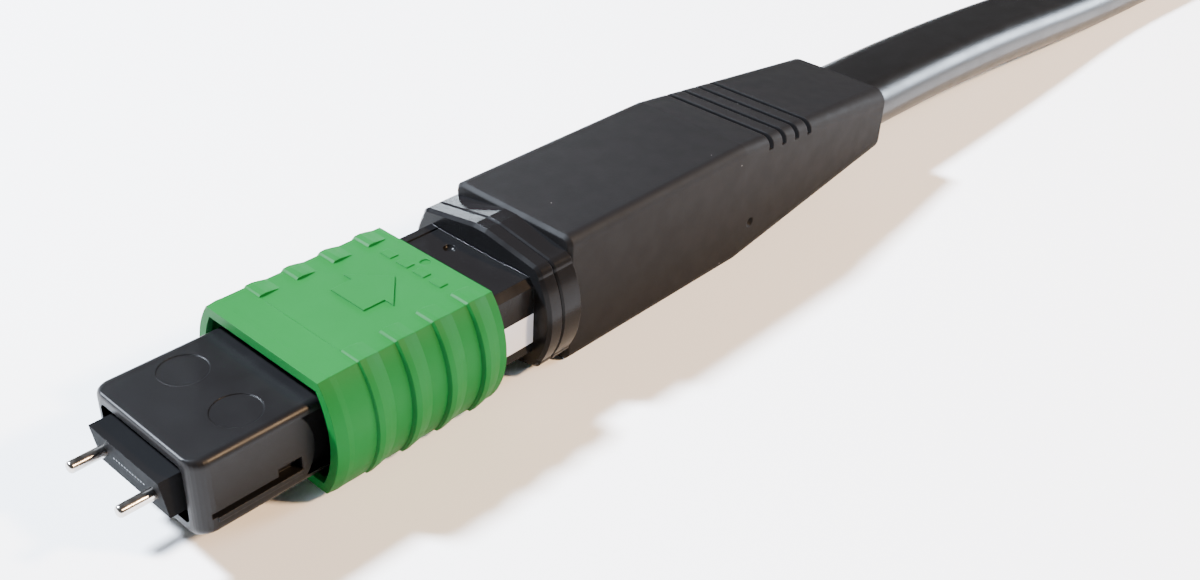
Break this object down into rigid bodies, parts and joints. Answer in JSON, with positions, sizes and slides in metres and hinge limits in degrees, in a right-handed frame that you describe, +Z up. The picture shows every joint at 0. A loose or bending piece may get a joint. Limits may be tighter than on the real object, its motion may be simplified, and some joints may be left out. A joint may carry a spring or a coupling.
{
  "type": "fibre optic connector",
  "caption": "Push-pull multi-fibre plug: pinned rectangular ferrule in a black housing, green ribbed sliding sleeve, collared rear body, long square boot and flat cable.",
  "frame": {"origin": "under the middle of the plug, from guide pin tips to boot end, on the surface it lies on", "axes": "+X forward along the optical axis, +Y the side with the white mark, +Z up"},
  "size_m": [0.2341, 0.0624, 0.0092],
  "materials": {
    "ferrule_resin": "moulded, fine grain",
    "pin_steel": "polished",
    "clamp_steel": "machined",
    "boot_rubber_small": "moulded",
    "fibre_coating": "coated",
    "spring_steel": "drawn wire",
    "housing_black": "moulded, satin",
    "sleeve_green": "moulded, satin",
    "body_black": "moulded, glossy",
    "mark_white": "printed",
    "crimp_steel": "crimped",
    "tube_white": "extruded",
    "rod_glass": "pultruded",
    "boot_rubber": "moulded, matte",
    "cable_jacket": "extruded, satin",
    "tie_black": "woven"
  },
  "bodies": {
    "plug": {"front_housing": "housing_black", "rear_body": "body_black", "first_fibre_mark": "mark_white", "crimp_ring": "crimp_steel", "buffer_tube": "tube_white", "strength_rod_left": "rod_glass", "strength_rod_right": "rod_glass", "strain_boot": "boot_rubber", "ferrule_spring": "spring_steel", "sleeve_spring_left": "spring_steel", "sleeve_spring_right": "spring_steel", "flat_cable": "cable_jacket", "cable_hank": "cable_jacket", "hank_tie_near": "tie_black", "hank_tie_far": "tie_black"},
    "coupling": {"coupling_sleeve": "sleeve_green"},
    "ferrule": {"mt_ferrule": "ferrule_resin", "guide_pin_left": "pin_steel", "guide_pin_right": "pin_steel", "pin_clamp": "clamp_steel", "ferrule_boot": "boot_rubber_small", "fibre_ribbon": "fibre_coating"}
  },
  "joints": [
    {"name": "sleeve_slide", "type": "slide", "parent": "plug", "child": "coupling", "axis": [-1, 0, 0], "range_m": [0, 0.0024], "stiffness_N_per_m": 900, "springref_m": -0.0022, "deforming": ["sleeve_spring_left", "sleeve_spring_right"]},
    {"name": "ferrule_float", "type": "slide", "parent": "plug", "child": "ferrule", "axis": [-1, 0, 0], "range_m": [0, 0.0009], "stiffness_N_per_m": 2800, "springref_m": -0.0035, "deforming": ["ferrule_spring"]}
  ]
}
